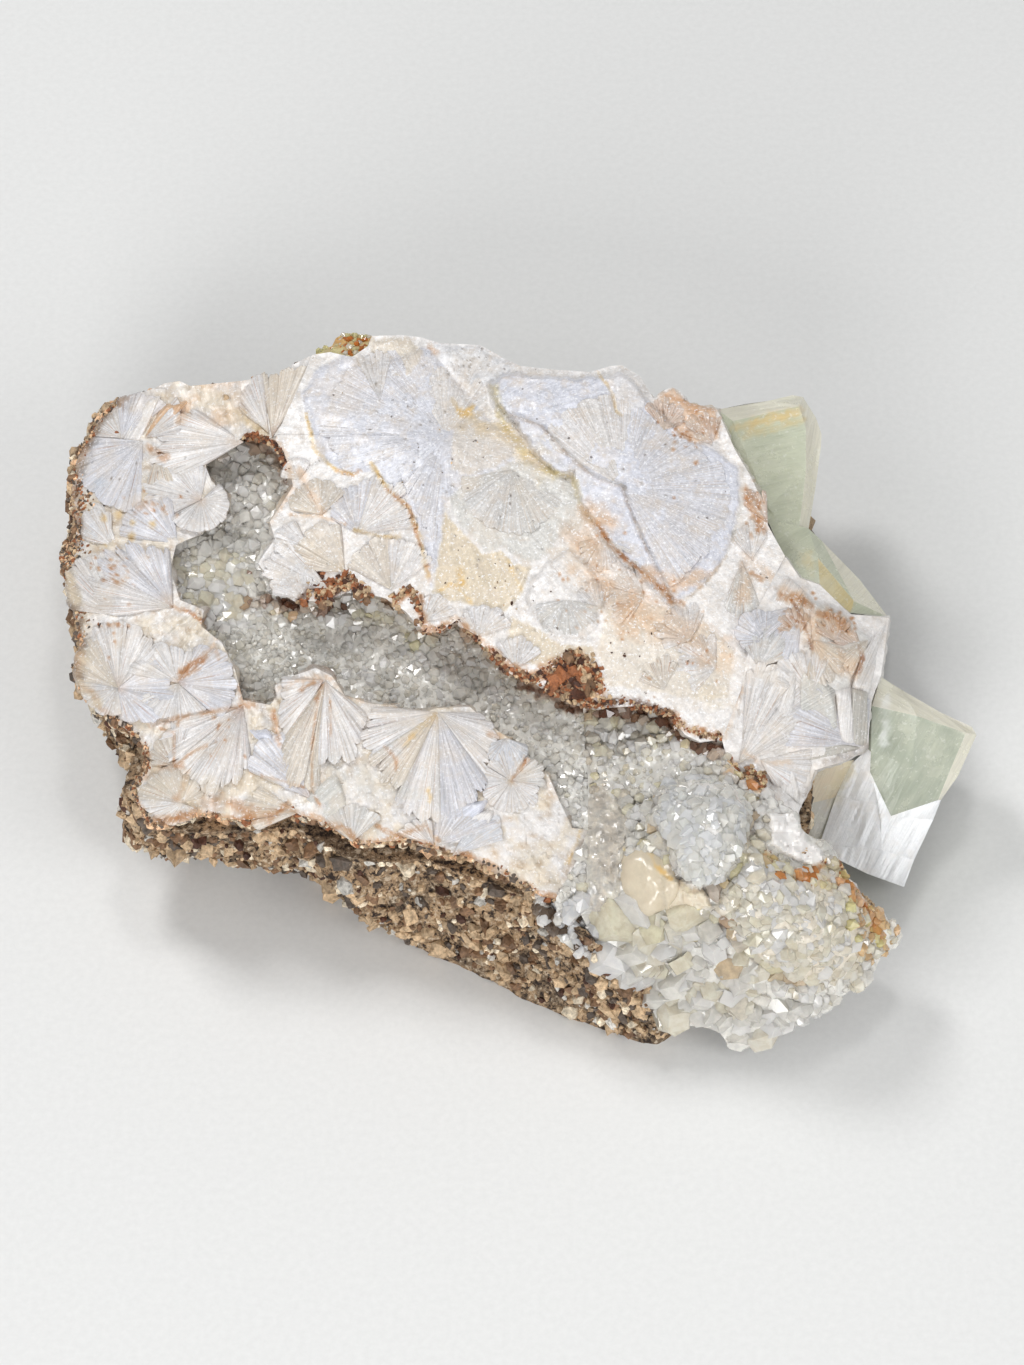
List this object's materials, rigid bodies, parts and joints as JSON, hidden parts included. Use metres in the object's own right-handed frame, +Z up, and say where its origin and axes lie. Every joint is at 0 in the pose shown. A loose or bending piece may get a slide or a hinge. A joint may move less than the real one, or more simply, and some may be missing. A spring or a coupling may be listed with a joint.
{
  "type": "heulandite with stilbite specimen",
  "caption": "Mineral specimen for display: pearly white plates and radiating sprays round a channel of drusy quartz, with pale green crystals, lying on its brown basalt.",
  "frame": {"origin": "on the surface that the specimen lies on, below the middle of its overall box", "axes": "+X along the slab to the green crystals' end, +Y to the back, +Z up"},
  "size_m": [0.1514, 0.1189, 0.0485],
  "materials": {
    "basalt": "rough and weathered",
    "white_stilbite": "pearly, finely grooved",
    "pearly_plate": "pearly with cream and rust stains",
    "grey_quartz": "glassy small crystals",
    "green_heulandite": "translucent, vitreous",
    "brown_quartz": "glassy, rust stained"
  },
  "bodies": {
    "root": {"matrix_rock": "basalt", "stilbite_left_sprays": "white_stilbite", "stilbite_upper_plate": "pearly_plate", "stilbite_right_block": "white_stilbite", "quartz_channel_crust": "grey_quartz", "quartz_druse_mass": "grey_quartz", "green_crystal_top": "green_heulandite", "green_crystal_middle": "green_heulandite", "green_crystal_right": "green_heulandite", "rear_quartz_knob": "brown_quartz"}
  },
  "joints": []
}
